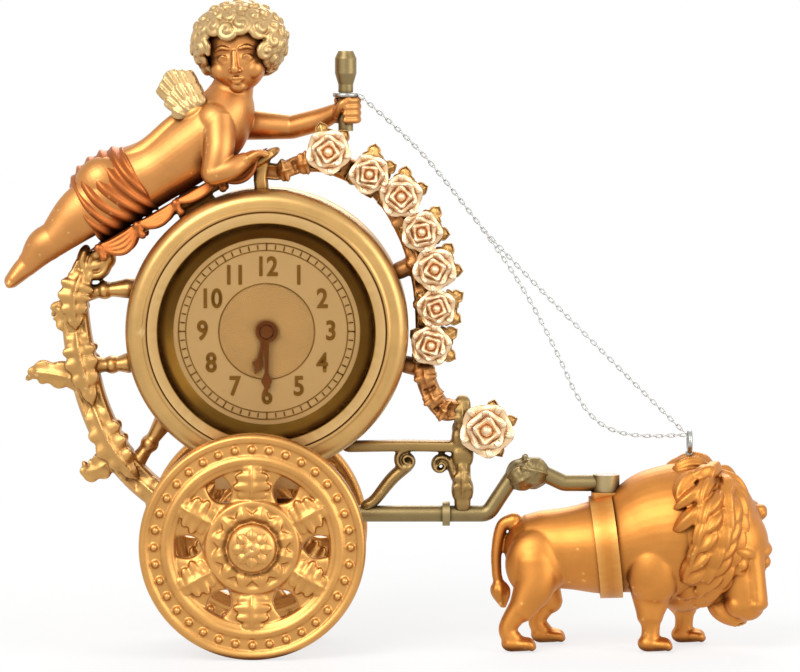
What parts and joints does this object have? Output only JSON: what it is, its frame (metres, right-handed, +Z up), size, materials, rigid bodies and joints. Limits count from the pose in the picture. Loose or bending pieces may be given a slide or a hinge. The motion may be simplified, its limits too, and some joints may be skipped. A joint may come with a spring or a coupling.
{
  "type": "figural chariot clock",
  "caption": "Gilt figural table clock: a winged child on a wheeled scroll chariot carries a round spring-driven dial and drives a harnessed lion with chain reins.",
  "frame": {"origin": "on the surface that the clock stands on, under the middle of its overall box", "axes": "+Z up, +X from the chariot towards the lion, the dial faces -Y"},
  "size_m": [0.2074, 0.0628, 0.174],
  "materials": {
    "gilt": "satin gilt with brown patina in the hollows",
    "gilt_figure": "warm satin gilt",
    "gilt_lion": "warm satin gilt",
    "gilt_rose": "pinkish satin gilt",
    "gilt_wheel": "warm satin gilt",
    "dark_bronze": "dull olive bronze",
    "bezel_dark": "polished dark brass",
    "dial_gilt": "matt gilt dial with dark numerals",
    "glass": "clear polished",
    "hand_steel": "dark browned steel",
    "brass": "brushed",
    "steel": "plain steel",
    "chain": "fine grey chain"
  },
  "bodies": {
    "frame": {"case_ring": "gilt", "seat_scroll": "gilt", "garland_branch": "gilt", "prow_bracket": "gilt", "axle_carriage": "gilt", "child_figure": "gilt_figure", "child_wings": "gilt_figure", "lion_figure": "gilt_lion", "garland_roses": "gilt_rose", "draught_pole": "dark_bronze", "lion_girth": "dark_bronze", "whip_handle": "dark_bronze", "bezel": "bezel_dark", "dial": "dial_gilt", "crystal": "glass", "movement_can": "brass", "back_cover": "brass", "front_plate": "brass", "back_plate": "brass", "plate_pillars": "brass", "balance_cock": "brass", "axle": "steel", "axle_sleeves": "steel", "axle_nuts": "steel", "frame_screws": "steel", "child_screws": "steel", "pole_screw": "steel", "cover_screws": "steel", "cock_screw": "steel", "hairspring": "steel", "near_rein": "chain", "far_rein": "chain", "rein_ring": "chain", "terret_ring": "chain"},
    "near_wheel": {"near_wheel": "gilt_wheel", "near_hub_cap": "gilt_wheel"},
    "far_wheel": {"far_wheel": "gilt_wheel", "far_hub_cap": "gilt_wheel"},
    "hands": {"hand_arbor": "steel", "cannon_pinion": "brass", "minute_hand": "hand_steel", "hand_nut": "hand_steel", "setting_knob": "brass"},
    "minute_work": {"minute_wheel": "brass"},
    "hour_work": {"hour_wheel": "brass", "hour_hand": "hand_steel"},
    "barrel": {"mainspring_barrel": "brass", "barrel_cover": "brass", "mainspring": "steel"},
    "winding": {"barrel_arbor": "steel", "ratchet_wheel": "steel", "winding_key": "brass"},
    "click": {"click": "steel"},
    "centre": {"centre_wheel": "brass"},
    "third": {"third_wheel": "brass"},
    "fourth": {"fourth_wheel": "brass"},
    "escape": {"escape_wheel": "steel"},
    "lever": {"pallet_lever": "steel"},
    "balance": {"balance_wheel": "brass"},
    "regulator": {"regulator_lever": "steel"}
  },
  "joints": [
    {"name": "near_wheel_turn", "type": "hinge", "parent": "frame", "child": "near_wheel", "pos_m": [-0.037, 0, 0.0302], "axis": [0, 1, 0], "continuous": true},
    {"name": "far_wheel_turn", "type": "hinge", "parent": "frame", "child": "far_wheel", "pos_m": [-0.037, 0, 0.0302], "axis": [0, 1, 0], "continuous": true},
    {"name": "hand_setting", "type": "hinge", "parent": "frame", "child": "hands", "pos_m": [-0.0335, 0, 0.0865], "axis": [0, 1, 0], "continuous": true},
    {"name": "minute_work_turn", "type": "hinge", "parent": "frame", "child": "minute_work", "pos_m": [-0.0255, 0, 0.0865], "axis": [0, 1, 0], "continuous": true},
    {"name": "hour_work_turn", "type": "hinge", "parent": "frame", "child": "hour_work", "pos_m": [-0.0335, 0, 0.0865], "axis": [0, 1, 0], "continuous": true},
    {"name": "fourth_wheel_turn", "type": "hinge", "parent": "frame", "child": "fourth", "pos_m": [-0.03748, 0, 0.09751], "axis": [0, 1, 0], "continuous": true},
    {"name": "third_wheel_turn", "type": "hinge", "parent": "frame", "child": "third", "pos_m": [-0.0281, 0, 0.09585], "axis": [0, 1, 0], "continuous": true},
    {"name": "centre_wheel_turn", "type": "hinge", "parent": "frame", "child": "centre", "pos_m": [-0.0335, 0, 0.0865], "axis": [0, 1, 0], "continuous": true},
    {"name": "barrel_turn", "type": "hinge", "parent": "frame", "child": "barrel", "pos_m": [-0.0335, 0, 0.0725], "axis": [0, 1, 0], "continuous": true},
    {"name": "escape_wheel_turn", "type": "hinge", "parent": "frame", "child": "escape", "pos_m": [-0.04546, 0, 0.0946], "axis": [0, 1, 0], "continuous": true},
    {"name": "winding_turn", "type": "hinge", "parent": "frame", "child": "winding", "pos_m": [-0.0335, 0, 0.0725], "axis": [0, -1, 0], "range_deg": [0, 1800], "deforming": ["mainspring"]},
    {"name": "click_lift", "type": "hinge", "parent": "frame", "child": "click", "pos_m": [-0.02691, 0, 0.07803], "axis": [0, 1, 0], "range_deg": [0, 10]},
    {"name": "lever_rock", "type": "hinge", "parent": "frame", "child": "lever", "pos_m": [-0.04751, 0, 0.08896], "axis": [0, 1, 0], "range_deg": [-4, 4]},
    {"name": "balance_swing", "type": "hinge", "parent": "frame", "child": "balance", "pos_m": [-0.04856, 0, 0.08153], "axis": [0, 1, 0], "range_deg": [-200, 200], "stiffness_Nm_per_rad": 0.000005, "deforming": ["hairspring"]},
    {"name": "regulator_shift", "type": "hinge", "parent": "frame", "child": "regulator", "pos_m": [-0.04856, 0, 0.08153], "axis": [0, 1, 0], "range_deg": [-18, 18]}
  ],
  "couplings": [
    {"joint": "minute_work_turn", "follows": "hand_setting", "ratio": -0.33333},
    {"joint": "hour_work_turn", "follows": "hand_setting", "ratio": 0.083333},
    {"joint": "third_wheel_turn", "follows": "fourth_wheel_turn", "ratio": -0.13333},
    {"joint": "centre_wheel_turn", "follows": "fourth_wheel_turn", "ratio": 0.016667},
    {"joint": "barrel_turn", "follows": "fourth_wheel_turn", "ratio": -0.0027778},
    {"joint": "escape_wheel_turn", "follows": "fourth_wheel_turn", "ratio": -7.5}
  ]
}
